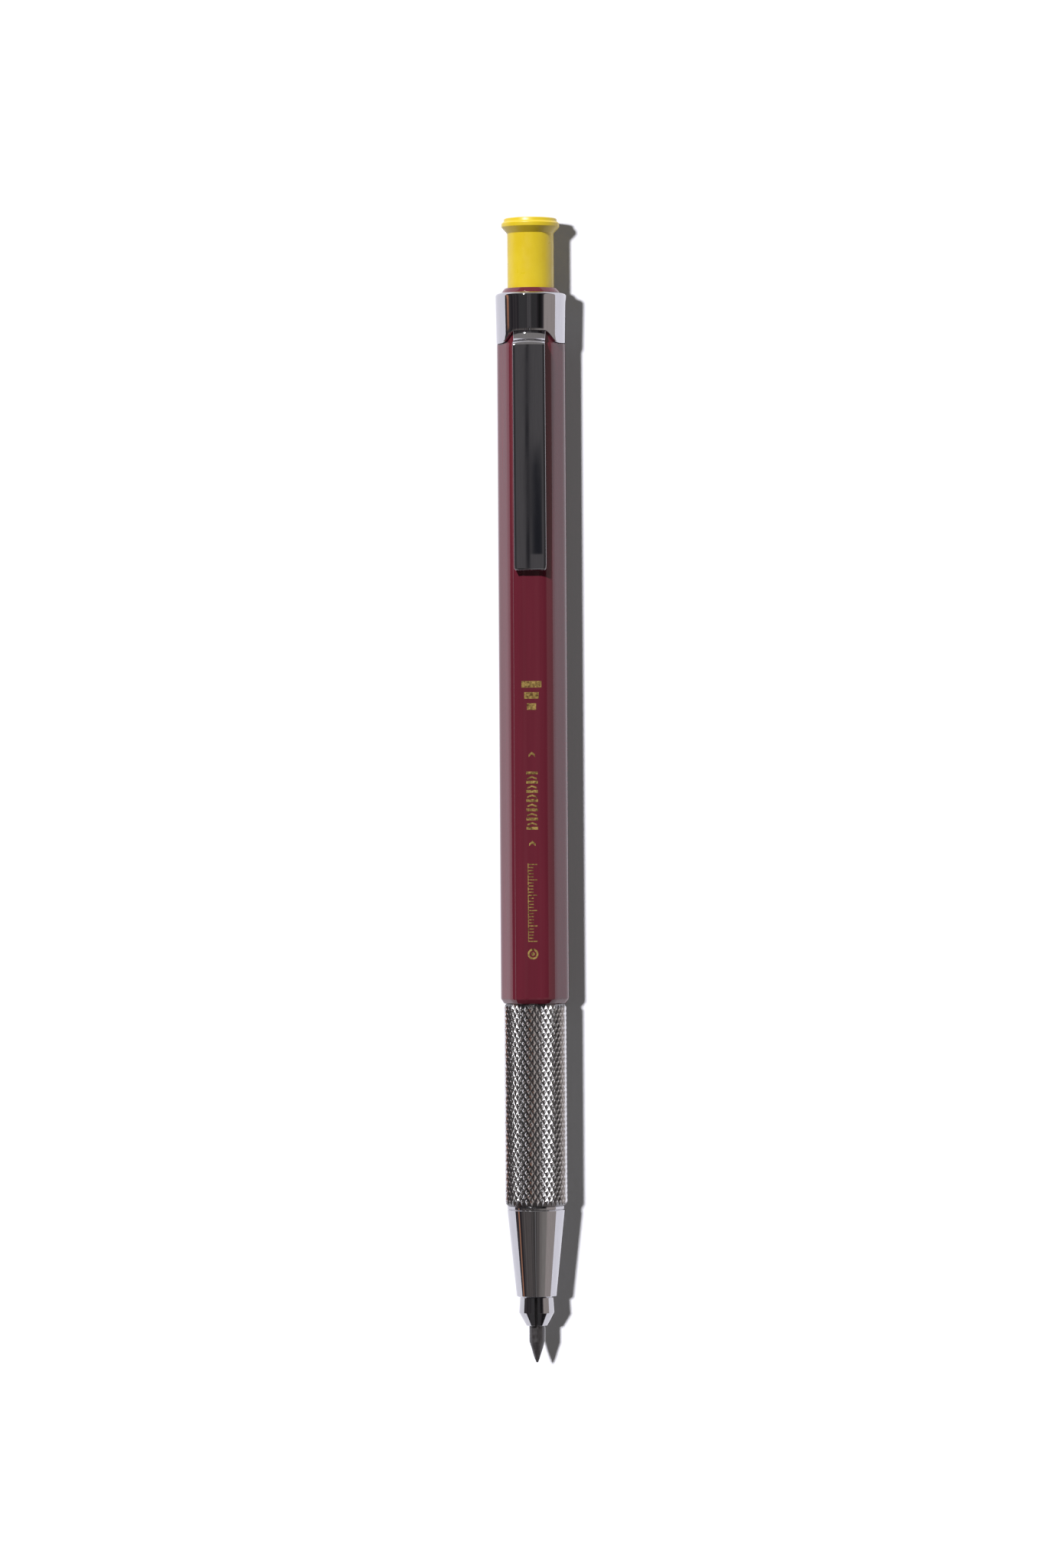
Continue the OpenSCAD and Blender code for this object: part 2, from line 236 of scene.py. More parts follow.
class Shader:
    """A Principled material, with helpers that add its procedural detail."""

    def __init__(self, name, colour, roughness, **sockets):
        self.material = bpy.data.materials.new(name)
        self.material.use_nodes = True
        self.tree = self.material.node_tree
        self.surface = self.tree.nodes["Principled BSDF"]
        self.surface.inputs["Base Color"].default_value = (*colour, 1)
        self.surface.inputs["Roughness"].default_value = roughness
        for socket, value in sockets.items():
            self.surface.inputs[socket.replace("_", " ")].default_value = value
        self.place = self.node("ShaderNodeTexCoord").outputs["Object"]
        self.height = None

    def node(self, kind, **values):
        made = self.tree.nodes.new(kind)
        for key, value in values.items():
            setattr(made, key, value)
        return made

    def link(self, source, target):
        self.tree.links.new(source, target)

    def scaled(self, x, y, z):
        """Object coordinates, stretched: the numbers are details per millimetre."""
        mapping = self.node("ShaderNodeMapping")
        mapping.inputs["Scale"].default_value = (x / MM, y / MM, z / MM)
        self.link(self.place, mapping.inputs["Vector"])
        return mapping.outputs["Vector"]

    def noise(self, x, y, z, detail=3, rough=0.55):
        texture = self.node("ShaderNodeTexNoise")
        texture.inputs["Scale"].default_value = 1
        texture.inputs["Detail"].default_value = detail
        texture.inputs["Roughness"].default_value = rough
        self.link(self.scaled(x, y, z), texture.inputs["Vector"])
        return texture.outputs["Fac"]

    def ranged(self, source, low, high, to_low, to_high):
        band = self.node("ShaderNodeMapRange")
        limits = {"From Min": low, "From Max": high, "To Min": to_low, "To Max": to_high}
        for socket, value in limits.items():
            band.inputs[socket].default_value = value
        self.link(source, band.inputs["Value"])
        return band.outputs["Result"]

    def maths(self, operation, a, b=None, value=None):
        made = self.node("ShaderNodeMath", operation=operation)
        self.link(a, made.inputs[0])
        if b is not None:
            self.link(b, made.inputs[1])
        if value is not None:
            made.inputs[1].default_value = value
        return made.outputs["Value"]

    def mixed(self, factor, colour_a, colour_b):
        """Colour between two colours, or between a colour and another node's colour."""
        mix = self.node("ShaderNodeMix", data_type="RGBA")
        self.link(factor, mix.inputs["Factor"])
        for socket, colour in ((mix.inputs[6], colour_a), (mix.inputs[7], colour_b)):
            if isinstance(colour, tuple):
                socket.default_value = (*colour, 1)
            else:
                self.link(colour, socket)
        return mix.outputs[2]

    def off_axis(self):
        """Distance from the pencil's axis, in millimetres."""
        parts = self.node("ShaderNodeSeparateXYZ")
        self.link(self.place, parts.inputs["Vector"])
        up = self.maths("SUBTRACT", parts.outputs["Z"], value=AXIS_Z)
        squares = self.maths("ADD", self.maths("POWER", parts.outputs["X"], value=2.0),
                             self.maths("POWER", up, value=2.0))
        return self.maths("MULTIPLY", self.maths("SQRT", squares), value=1 / MM)

    def bump(self, source, depth_mm):
        """Adds relief of that depth on top of what is there already."""
        made = self.node("ShaderNodeBump")
        made.inputs["Distance"].default_value = depth_mm * MM
        self.link(source, made.inputs["Height"])
        if self.height:
            self.link(self.height, made.inputs["Normal"])
        self.height = made.outputs["Normal"]
        self.link(self.height, self.surface.inputs["Normal"])

    def colour(self, source):
        self.link(source, self.surface.inputs["Base Color"])

    def roughness(self, source):
        self.link(source, self.surface.inputs["Roughness"])


CHROME_COLOUR = (0.56, 0.555, 0.585)


def chrome(name, colour=CHROME_COLOUR, smooth=0.025, worn=0.07, ripple=0.0006, rings=0.0):
    """Bright plating: faint draw lines along the pencil, fine hazing and, on turned parts, tool rings."""
    shader = Shader(name, colour, smooth, Metallic=1.0)
    haze = shader.noise(0.35, 0.12, 0.35, detail=5)
    fine = shader.noise(5, 0.25, 5, detail=2)
    shader.roughness(shader.ranged(haze, 0.35, 0.75, smooth, worn))
    tone = shader.ranged(fine, 0.3, 0.7, 0.0, 1.0)
    shader.colour(shader.mixed(tone, colour, tuple(c * 0.93 for c in colour)))
    shader.bump(shader.noise(0.5, 0.05, 0.5, detail=2), ripple)
    if rings:
        shader.bump(shader.noise(0.02, 6, 0.02, detail=1), rings)
    return shader.material


def knurled_chrome():
    """Plating over the knurl, with painted shade darkening the bottom of the cuts, and random darker
    spots.
    """
    shader = Shader("knurled_chrome", CHROME_COLOUR, 0.1, Metallic=1.0)
    depth = shader.off_axis()
    # Painted shade: the colour darkens towards the bottom of the cuts, where shade falls; random noise
    # adds darker spots.
    unshaded_unspotted = shader.ranged(depth, GRIP_R - KNURL_DEPTH - 0.01, GRIP_R - 0.35 * KNURL_DEPTH, 0.0, 1.0)
    spots = shader.ranged(shader.noise(1.4, 1.4, 1.4, detail=4), 0.35, 0.7, 0.75, 1.0)
    unshaded_unspotted = shader.maths("MULTIPLY", unshaded_unspotted, spots)
    shader.colour(shader.mixed(unshaded_unspotted, (0.24, 0.235, 0.24), (0.88, 0.87, 0.885)))
    shader.roughness(shader.ranged(unshaded_unspotted, 0.0, 1.0, 0.2, 0.1))
    shader.bump(shader.noise(3, 3, 3, detail=2), 0.04)
    return shader.material


def maroon_plastic():
    """Glossy moulded plastic with faint flow lines along the barrel and a little surface ripple."""
    base, deep = (0.116, 0.0148, 0.027), (0.1, 0.012, 0.0225)
    shader = Shader("maroon_plastic", base, 0.05, IOR=1.52, Coat_Weight=0.2, Coat_Roughness=0.02)
    flow = shader.noise(0.8, 0.03, 0.8, detail=3)
    mottle = shader.noise(0.25, 0.25, 0.25, detail=5)
    shader.colour(shader.mixed(shader.ranged(flow, 0.3, 0.7, 0.0, 1.0), base, deep))
    shader.roughness(shader.ranged(mottle, 0.3, 0.75, 0.025, 0.07))
    shader.bump(shader.noise(0.4, 0.06, 0.4, detail=2), 0.00015)
    shader.bump(shader.noise(9, 9, 9, detail=1), 0.0002)
    return shader.material


def yellow_plastic():
    """Satin moulded plastic, a little cloudy, with a fine moulded skin."""
    base, warm = (0.66, 0.5, 0.022), (0.62, 0.45, 0.013)
    shader = Shader("yellow_plastic", base, 0.34, IOR=1.5)
    cloud = shader.noise(0.5, 0.25, 0.5, detail=4)
    shader.colour(shader.mixed(shader.ranged(cloud, 0.3, 0.7, 0.0, 1.0), base, warm))
    shader.roughness(shader.ranged(shader.noise(1, 1, 1, detail=4), 0.3, 0.7, 0.27, 0.42))
    shader.bump(shader.noise(7, 7, 7, detail=2), 0.0015)
    shader.bump(shader.noise(0.02, 3, 0.02, detail=2), 0.002)
    return shader.material


def graphite():
    """Dull dark lead with a metallic sheen and the fine marks that sharpening leaves around its point."""
    shader = Shader("graphite", (0.05, 0.05, 0.053), 0.42, Metallic=0.2, IOR=1.9)
    grain = shader.noise(3.5, 1.2, 3.5, detail=5)
    tone = shader.ranged(grain, 0.3, 0.7, 0.0, 1.0)
    shader.colour(shader.mixed(tone, (0.02, 0.017, 0.019), (0.05, 0.046, 0.049)))
    shader.roughness(shader.ranged(grain, 0.3, 0.7, 0.33, 0.55))
    shader.bump(shader.noise(0.4, 9, 0.4, detail=3), 0.012)
    shader.bump(shader.noise(8, 3, 8, detail=2), 0.008)
    return shader.material


def gold_foil():
    """Hot-stamped foil, a little worn and patchy."""
    shader = Shader("gold_foil", (0.62, 0.4, 0.12), 0.22, Metallic=0.5)
    wear = shader.noise(3, 3, 3, detail=4)
    tone = shader.ranged(wear, 0.35, 0.65, 0.0, 1.0)
    shader.colour(shader.mixed(tone, (0.62, 0.43, 0.14), (0.12, 0.06, 0.02)))
    shader.roughness(shader.ranged(wear, 0.3, 0.7, 0.12, 0.32))
    shader.bump(shader.noise(5, 5, 5, detail=2), 0.02)
    return shader.material


def brass():
    """Turned brass with tool rings and a light tarnish."""
    shader = Shader("brass", (0.62, 0.42, 0.16), 0.25, Metallic=1.0)
    stain = shader.noise(0.6, 0.4, 0.6, detail=5)
    tone = shader.ranged(stain, 0.4, 0.75, 0.0, 1.0)
    shader.colour(shader.mixed(tone, (0.66, 0.46, 0.19), (0.42, 0.27, 0.1)))
    shader.roughness(shader.ranged(stain, 0.3, 0.7, 0.2, 0.38))
    shader.bump(shader.noise(0.02, 5, 0.02, detail=2), 0.003)
    return shader.material


def drawn_steel():
    """Drawn wire and strip: grey, with fine lines."""
    shader = Shader("drawn_steel", (0.46, 0.46, 0.47), 0.28, Metallic=1.0)
    lines = shader.noise(6, 0.6, 6, detail=3)
    tone = shader.ranged(lines, 0.3, 0.7, 0.0, 1.0)
    shader.colour(shader.mixed(tone, (0.52, 0.52, 0.53), (0.34, 0.34, 0.36)))
    shader.roughness(shader.ranged(lines, 0.3, 0.7, 0.2, 0.36))
    shader.bump(lines, 0.002)
    return shader.material


MATERIALS = {
    "maroon_plastic": maroon_plastic(),
    "yellow_plastic": yellow_plastic(),
    "chromed_sheet": chrome("chromed_sheet", ripple=0.0012),
    "knurled_chrome": knurled_chrome(),
    "polished_chrome": chrome("polished_chrome", rings=0.0004),
    "jaw_chrome": chrome("jaw_chrome", colour=(0.53, 0.525, 0.545), smooth=0.05, worn=0.12, rings=0.001),
    "gold_foil": gold_foil(),
    "brass": brass(),
    "spring_steel": drawn_steel(),
    "graphite": graphite(),
}


def paint_cad_nodes():
    """Every CAD node gets its slot's procedural material, also those that stay hidden inside."""
    slots = {part["node"]: part["material_slot"] for part in frame["record"]["subparts"]}
    for name, node in frame["nodes"].items():
        node.data.materials.clear()
        node.data.materials.append(MATERIALS[slots[name]])


# ---------------------------------------------------------------- barrel

# A faint mould line runs along two opposite corners: height and half-width of its ridge.
SEAM_HEIGHT = 0.045
SEAM_HALF = 0.1
SEAM_SIDES = (2, 5)
# The front edge is chamfered: (distance from the front end, how far it is drawn in).
FRONT_EDGE = ((0, 0.46), (0.04, 0.4), (0.1, 0.35), (0.55, 0.05), (0.62, 0.015), (0.72, 0))


def hexagon_ring():
    """Points around the rounded hexagon as (x, h, outward x, outward h), clockwise from the top."""
    ring = []
    for side in range(6):
        face = side * TURN / 6
        for step in range(-2, 3):
            along = FACE_HALF * step / 2
            ring.append((BARREL_FLAT * math.sin(face) + along * math.cos(face),
                         BARREL_FLAT * math.cos(face) - along * math.sin(face),
                         math.sin(face), math.cos(face)))
        hub = (BARREL_FLAT - CORNER_R) / math.cos(TURN / 12)
        corner = face + TURN / 12
        offsets = [t / 8 * TURN / 12 for t in range(-7, 8)]
        if side in SEAM_SIDES:
            ridge = SEAM_HALF / CORNER_R
            offsets = sorted(set(offsets) | {ridge * k / 2 for k in (-4, -3, -2, -1, 1, 2, 3, 4)})
        for offset in offsets:
            angle = corner + offset
            reach = CORNER_R
            if side in SEAM_SIDES:
                reach += SEAM_HEIGHT * math.exp(-(offset * CORNER_R / SEAM_HALF * 1.6) ** 2)
            ring.append((hub * math.sin(corner) + reach * math.sin(angle),
                         hub * math.cos(corner) + reach * math.cos(angle),
                         math.sin(angle), math.cos(angle)))
    return ring


def barrel_point(spot, at, size, inset):
    """A point of the barrel: on the hexagon, drawn in by inset, or on a circle of radius size."""
    x, h, nx, nh = spot
    if size is None:
        return world(x - nx * inset, at, h - nh * inset)
    angle = math.atan2(x, h)
    return world(size * math.sin(angle), at, size * math.cos(angle))


def build_barrel():
    """Rounded hexagonal tube with a turned chamfer in front and a round spigot under the ferrule."""
    shoulder = FERRULE_FROM
    plain_from, plain_to, rows = BARREL_FROM + 0.9, shoulder - 0.6, 24
    outline = [(BARREL_FROM, FRONT_BORE_R, 0), (BARREL_FROM, FRONT_BORE_R + 0.5, 0)]
    outline += [(BARREL_FROM + step, None, inset) for step, inset in FRONT_EDGE]
    outline += [(plain_from + (plain_to - plain_from) * i / rows, None, 0) for i in range(rows + 1)]
    outline += [
        (shoulder - 0.1, None, 0), (shoulder - 0.03, None, 0.02), (shoulder, None, 0.09),
        (shoulder, SPIGOT_R, 0), (BARREL_END, SPIGOT_R, 0), (BARREL_END, TAIL_BORE_R, 0),
        (TAIL_BORE_FROM, TAIL_BORE_R, 0), (TAIL_BORE_FROM, MAIN_BORE_R, 0),
        (FRONT_BORE_TO, MAIN_BORE_R, 0), (FRONT_BORE_TO, FRONT_BORE_R, 0)]
    columns = [[barrel_point(spot, *row) for row in outline] for spot in hexagon_ring()]
    return lofted("barrel_moulding", columns, "holder", ["barrel"], "maroon_plastic", crease=50)


def face_point(across, at, lift):
    """A point over the barrel's top face, measured across along the surface from the face's middle."""
    over = abs(across) - FACE_HALF
    if over <= 0:
        return world(across, at, BARREL_FLAT + lift)
    angle = over / CORNER_R
    side = math.copysign(1, across)
    hub = BARREL_FLAT - CORNER_R
    return world(side * (FACE_HALF + (CORNER_R + lift) * math.sin(angle)), at,
                 hub + (CORNER_R + lift) * math.cos(angle))


# The foil stands this far off the face and is rooted this deep in it.
FOIL_LIFT = 0.012
FOIL_ROOT = -0.01
# Stations of the marks: the growing bars, the row of bars, the ruler scale and the ring.
BARS_AT, BARS_PITCH = 85.3, 1.45
ROW_AT, ROW_PITCH, ROW_BARS = 69.7, 1.2, 7
RULER_AT, RULER_LONG, RULER_PITCH, RULER_MARKS = 55.1, 10.2, 0.4, 26
EMBLEM_AT = 53.5


def foil_stroke(at, width, low, high, lean=0.0, cells=10):
    """A strip of foil across the face. lean raises its middle into a chevron."""
    columns = []
    for i in range(cells + 1):
        t = i / cells
        across, start = low + (high - low) * t, at + lean * (1 - abs(2 * t - 1))
        columns.append([
            face_point(across, start, FOIL_LIFT), face_point(across, start + width, FOIL_LIFT),
            face_point(across, start + width, FOIL_ROOT), face_point(across, start, FOIL_ROOT)])
    return columns


def foil_ring(at, outer, inner, steps=28):
    """A ring of foil in the middle of the face."""
    columns = []
    for i in range(steps + 1):
        angle = TURN * i / steps
        x, y = math.sin(angle), math.cos(angle)
        columns.append([
            face_point(outer * x, at + outer * y, FOIL_LIFT),
            face_point(inner * x, at + inner * y, FOIL_LIFT),
            face_point(inner * x, at + inner * y, FOIL_ROOT),
            face_point(outer * x, at + outer * y, FOIL_ROOT)])
    return columns


def build_foil():
    """Plain geometric marks in gold foil along the barrel's top face: three bars of growing length,
    a row of bars and chevrons between two small chevrons, a fine ruler scale and a ring."""
    strips = []
    for step, reach in enumerate((0.6, 0.95, 1.3)):
        strips.append(foil_stroke(BARS_AT + BARS_PITCH * step, 0.85, -reach, reach))
    for middle in (79.5, 67.9):
        strips.append(foil_stroke(middle - 0.35, 0.34, -0.42, 0.42, lean=0.36))
    for i in range(ROW_BARS):
        at = ROW_AT + ROW_PITCH * i
        strips.append(foil_stroke(at, 0.36, -0.76, 0.76))
        if i < ROW_BARS - 1:
            strips.append(foil_stroke(at + 0.52, 0.22, -0.62, 0.62, lean=0.24))
    strips.append(foil_stroke(RULER_AT, RULER_LONG, -0.62, -0.52))
    for i in range(RULER_MARKS):
        reach = 0.6 if i % 5 == 0 else 0.12
        strips.append(foil_stroke(RULER_AT + RULER_PITCH * i, 0.13, -0.52, reach))
    strips.append(foil_ring(EMBLEM_AT, 0.7, 0.46))
    strips.append(foil_ring(EMBLEM_AT, 0.24, 0.02))
    verts, faces = [], []
    for columns in strips:
        faces += loft(columns, closed=False, first=len(verts))
        verts += [point for column in columns for point in column]
    return finish_mesh("foil_marks", verts, faces, "holder", (), MATERIALS["gold_foil"], crease=38)


# ---------------------------------------------------------------- grip

def build_grip():
    """Diamond knurl: low pyramids on a lattice of two crossing sets of grooves."""
    rows = 2 * round((GRIP_TO - GRIP_FROM) / KNURL_ROW)
    first, last = GRIP_FROM + GRIP_FRONT_EDGE, GRIP_TO - GRIP_BACK_EDGE
    step = (last - first) / rows
    columns = 2 * KNURL_STARTS
    root_r = GRIP_R - KNURL_DEPTH
    verts, faces = [], []

    def add(column, row, r):
        angle = TURN * column / columns
        at = first + row * step
        into = max(0, 1 - min(at - GRIP_FROM, GRIP_TO - at) / GRIP_ROUND)
        r -= GRIP_DROP * into ** 2
        verts.append(world(r * math.sin(angle), at, r * math.cos(angle)))
        return len(verts) - 1

    grid = {}
    for row in range(rows + 1):
        for column in range(columns):
            crest = (row + column) % 2 == 0
            border = row in (0, rows)
            if not crest or border:
                grid[column, row] = add(column, row, root_r)

    def corner(column, row):
        return grid[column % columns, row]

    for row in range(rows + 1):
        for column in range(row % 2, columns, 2):
            around_it = [(column, row + 1), (column + 1, row), (column, row - 1), (column - 1, row)]
            if row in (0, rows):
                inner = 1 if row == 0 else rows - 1
                faces.append((corner(column - 1, row), corner(column, row), corner(column, inner)))
                faces.append((corner(column, row), corner(column + 1, row), corner(column, inner)))
                continue
            low = [corner(*spot) for spot in around_it]
            for share, depth in KNURL_STEPS:
                top = [add(column + (c - column) * share, row + (r - row) * share, GRIP_R - depth)
                       for c, r in around_it]
                faces += [(low[i], low[(i + 1) % 4], top[(i + 1) % 4], top[i]) for i in range(4)]
                low = top
            faces.append(tuple(low))

    def ring(at, r):
        made = []
        for column in range(columns):
            angle = TURN * column / columns
            verts.append(world(r * math.sin(angle), at, r * math.cos(angle)))
            made.append(len(verts) - 1)
        return made

    def join(ring_a, ring_b):
        for i in range(columns):
            k = (i + 1) % columns
            faces.append((ring_a[i], ring_a[k], ring_b[k], ring_b[i]))

    front = [grid[c, 0] for c in range(columns)]
    back = [grid[c, rows] for c in range(columns)]
    chain = [front, ring(GRIP_FROM, root_r - GRIP_DROP - GRIP_FRONT_EDGE),
             ring(GRIP_FROM, GRIP_FRONT_BORE_R), ring(GRIP_STEP_AT, GRIP_FRONT_BORE_R),
             ring(GRIP_STEP_AT, GRIP_BACK_BORE_R), ring(GRIP_TO, GRIP_BACK_BORE_R),
             ring(GRIP_TO, root_r - GRIP_DROP - GRIP_BACK_EDGE), back]
    for ring_a, ring_b in zip(chain, chain[1:]):
        join(ring_a, ring_b)
    return finish_mesh("knurled_grip", verts, faces, "holder", ["grip_sleeve"],
                       MATERIALS["knurled_chrome"], crease=24)


# ---------------------------------------------------------------- nose, ring, jaws and lead

NOSE_TOP_R = radius("nose_cone")
NOSE_MOUTH_R = 2.24
# The cone's threaded end, drawn plain, goes into the grip. Its bore narrows to a land around the jaws.
THREAD_TO, THREAD_R = 29, 2.9
NOSE_BORE_FROM, NOSE_BORE_R = 11.2, 2.45
LAND_AT, JAW_LAND_R = 10, 2.09
RING_R = 3.76
RING_BORE_R = 2.92
RING_SHIFT = -0.04


def build_nose():
    """Tapered nose cone with a chamfered mouth and a softened back edge."""
    top = GRIP_FROM - RING_LONG
    return turned("polished_nose", [
        (NOSE_FROM, NOSE_MOUTH_R, 0.02), (NOSE_FROM, 2.3, 0.03), (NOSE_FROM + 0.19, 2.63, 0.05),
        (top - 0.09, NOSE_TOP_R - 0.005, 0.06), (top, NOSE_TOP_R - 0.08, 0.04), (top, THREAD_R),
        (THREAD_TO, THREAD_R), (THREAD_TO, NOSE_BORE_R), (NOSE_BORE_FROM, NOSE_BORE_R),
        (LAND_AT, JAW_LAND_R + RUN_GAP)],
        "holder", ["nose_cone"], "polished_chrome", steps=160)


def build_ring():
    """Loose plain ring between the grip and the nose cone, a touch off centre."""
    front, back = GRIP_FROM - RING_LONG, GRIP_FROM
    return turned("plain_ring", [
        (front, RING_BORE_R), (front, RING_R - 0.08, 0.06), (front + 0.08, RING_R, 0.06),
        (back - 0.05, RING_R, 0.05), (back, RING_R - 0.06, 0.04), (back, RING_BORE_R)],
        "holder", ["nose_ring"], "polished_chrome", shift=RING_SHIFT)


JAW_BORE_R = LEAD_R + 0.03
JAW_SLIT = 0.36
# Each jaw is a flared head that narrows over its land to a thin leg.
HEAD_AT, HEAD_R = 6.55, 2.32
LEG_R = 1.65
JAW_STEPS = 14


def build_jaw(node, middle):
    """One third of the slit collet. middle is the jaw's direction, from straight up towards +X."""
    outline = rounded([
        (JAW_FROM, JAW_BORE_R, 0.03), (JAW_FROM, 1.38, 0.05), (HEAD_AT, HEAD_R, 0.03),
        (HEAD_AT + 2, 2.2), (LAND_AT, JAW_LAND_R), (LAND_AT + 2, LEG_R, 0.3),
        (JAW_ROOT, LEG_R), (JAW_ROOT, JAW_BORE_R)], 4)
    columns = []
    for step in range(-JAW_STEPS, JAW_STEPS + 1):
        column = []
        for at, r in outline:
            reach = TURN / 6 - math.asin(JAW_SLIT / 2 / r)
            angle = math.radians(middle) + reach * step / JAW_STEPS
            column.append(world(r * math.sin(angle), at, r * math.cos(angle)))
        columns.append(column)
    body = node.replace("jaw_", "") + "_jaw"
    return lofted(node + "_plated", columns, body, [node], "jaw_chrome", closed=False, crease=30)


LEAD_POINT = 2.75
LEAD_TIP_R = 0.18
# Below 1, the sharpened cone bulges a little.
CONE_POWER = 0.86


def build_lead():
    """The lead with its hand-sharpened point: a slightly uneven cone with a worn tip."""
    tip_r, rows = LEAD_TIP_R, 40
    outline = [(0.0, 0.0), (0.015, 0.08), (0.06, 0.14), (tip_r, tip_r)]
    for i in range(1, rows):
        t = i / rows
        outline.append((tip_r + (LEAD_POINT - tip_r) * t, tip_r + (LEAD_R - tip_r) * t ** CONE_POWER))
    end = span("lead")[1]
    outline += [(LEAD_POINT - 0.01, LEAD_R - 0.012), (LEAD_POINT + 0.08, LEAD_R), (end - 0.05, LEAD_R),
                (end, LEAD_R - 0.05), (end, 0.0)]
    steps = 72
    columns = []
    for i in range(steps):
        angle = TURN * i / steps
        column = []
        for at, r in outline:
            cut = math.sin(5 * angle + 3.1 * at) * 0.012 + math.sin(at * 17) * 0.006
            r_here = min(r, max(0.0, r + cut - 0.018)) if 0.1 < at < LEAD_POINT else r
            column.append(world(r_here * math.sin(angle), at, r_here * math.cos(angle)))
        columns.append(column)
    return lofted("graphite_lead", columns, "lead_stick", ["lead"], "graphite", crease=60)


# ---------------------------------------------------------------- ferrule and clip

NOTCH_WIDE = 1.75
NOTCH_DEEP = 1.42
FERRULE_LOW_R = 4.515
WALL_TO = 139.32
LIP_FROM = 139.45
LIP_INNER_R = 3.9
# The top edge is rolled inwards: (at, r), from the wall to the hole for the bush.
ROLLED_LIP = [(LIP_FROM, 4.62), (139.57, 4.56), (139.66, 4.47), (139.72, 4.36), (139.77, 4.18),
              (FERRULE_END, 4.03), (FERRULE_END, 3.94), (139.77, LIP_INNER_R)]


def ferrule_edge(x):
    """Station of the ferrule's lower edge at x: up over the clip's root, then down beside it."""
    beside = abs(x) - CLIP_HALF - 0.03
    if beside <= 0:
        return CLIP_ROOT + 0.03
    if beside >= NOTCH_WIDE:
        return FERRULE_FROM
    t = beside / NOTCH_WIDE
    flare = 0.5 - 0.5 * math.cos(math.pi * min(1, t * 1.15))
    return FERRULE_FROM + NOTCH_DEEP * (1 - 0.3 * t - 0.7 * flare)


def ferrule_column(angle):
    """Section of the band at an angle from straight up: lower edge, slightly flared wall, rolled lip."""
    low = FERRULE_FROM
    if math.cos(angle) > 0:
        low = ferrule_edge(FERRULE_LOW_R * math.sin(angle))
    slope = (FERRULE_R - FERRULE_LOW_R) / (LIP_FROM - FERRULE_FROM)

    def outer(at):
        return FERRULE_LOW_R + slope * (at - FERRULE_FROM)

    outline = [(low + 0.02, SPIGOT_R), (low, SPIGOT_R + 0.1), (low, outer(low) - 0.14),
               (low + 0.03, outer(low) - 0.05), (low + 0.09, outer(low) - 0.01), (low + 0.16, outer(low))]
    wall_from, rows = low + 0.16, 10
    for i in range(1, rows + 1):
        at = wall_from + (WALL_TO - wall_from) * i / rows
        outline.append((at, outer(at)))
    outline += ROLLED_LIP + [(COLLAR_FROM, LIP_INNER_R), (COLLAR_FROM, SPIGOT_R)]
    return around(outline, angle)


def build_ferrule():
    """Drawn band with rolled top and the two cuts that free the clip's root."""
    edge = math.asin((CLIP_HALF + NOTCH_WIDE + 0.3) / FERRULE_LOW_R)
    fine = [edge * i / 56 for i in range(-56, 57)]
    coarse = [edge + (TURN - 2 * edge) * i / 96 for i in range(1, 96)]
    columns = [ferrule_column(angle) for angle in fine + coarse]
    return lofted("drawn_ferrule", columns, "holder", ["ferrule"], "chromed_sheet", crease=50)


CLIP_T = 0.36
# The clip's upper surface from its root on the ferrule up to the arm, and around the tip. Each row is
# (at, h, half width, crown, rim). crown is how far the sides lie below the middle, and rim how far the
# edges are folded down.
CLIP_BEND = [
    (134.6, 4.54, 2.1, 0.50, 0.0),
    (134.42, 4.55, 2.1, 0.48, 0.0),
    (134.3, 4.6, 2.09, 0.46, 0.0),
    (134.1, 4.71, 2.08, 0.44, 0.0),
    (133.85, 4.86, 2.07, 0.41, 0.02),
    (133.62, 5.0, 2.07, 0.38, 0.05),
    (133.52, 5.12, 2.07, 0.31, 0.06),
    (133.42, 5.31, 2.07, 0.2, 0.08),
    (133.34, 5.43, 2.08, 0.13, 0.1),
    (133.16, 5.61, 2.09, 0.09, 0.12),
    (132.98, 5.76, 2.09, 0.06, 0.14),
    (132.86, 5.83, 2.1, 0.04, 0.15),
    (132.7, 5.88, 2.1, 0.03, 0.16),
]
CLIP_END = [
    (104.7, 5.15, 2.1, 0.02, 0.5),
    (104.3, 5.16, 2.1, 0.02, 0.5),
    (104.0, 5.19, 2.08, 0.02, 0.5),
    (103.8, 5.22, 2.06, 0.02, 0.46),
    (103.66, 5.225, 2.04, 0.02, 0.38),
    (103.56, 5.21, 2.02, 0.02, 0.3),
    (103.49, 5.17, 2.0, 0.02, 0.24),
    (103.45, 5.1, 1.98, 0.02, 0.16),
]
# The arm between them falls towards the tip and is bowed up a little.
ARM_FROM, ARM_TO = 132.3, 105.2
ARM_HEIGHT = 5.885
ARM_FALL = 0.735
ARM_BOW = 0.03


def clip_path():
    """The whole clip: its bent root, then the long arm, then the turned-down tip."""
    arm, steps = [], 24
    for i in range(steps + 1):
        t = i / steps
        height = ARM_HEIGHT - ARM_FALL * t + ARM_BOW * math.sin(math.pi * t)
        arm.append((ARM_FROM + (ARM_TO - ARM_FROM) * t, height, 2.1, 0.02, 0.2 + 0.3 * t))
    return CLIP_BEND + arm + CLIP_END


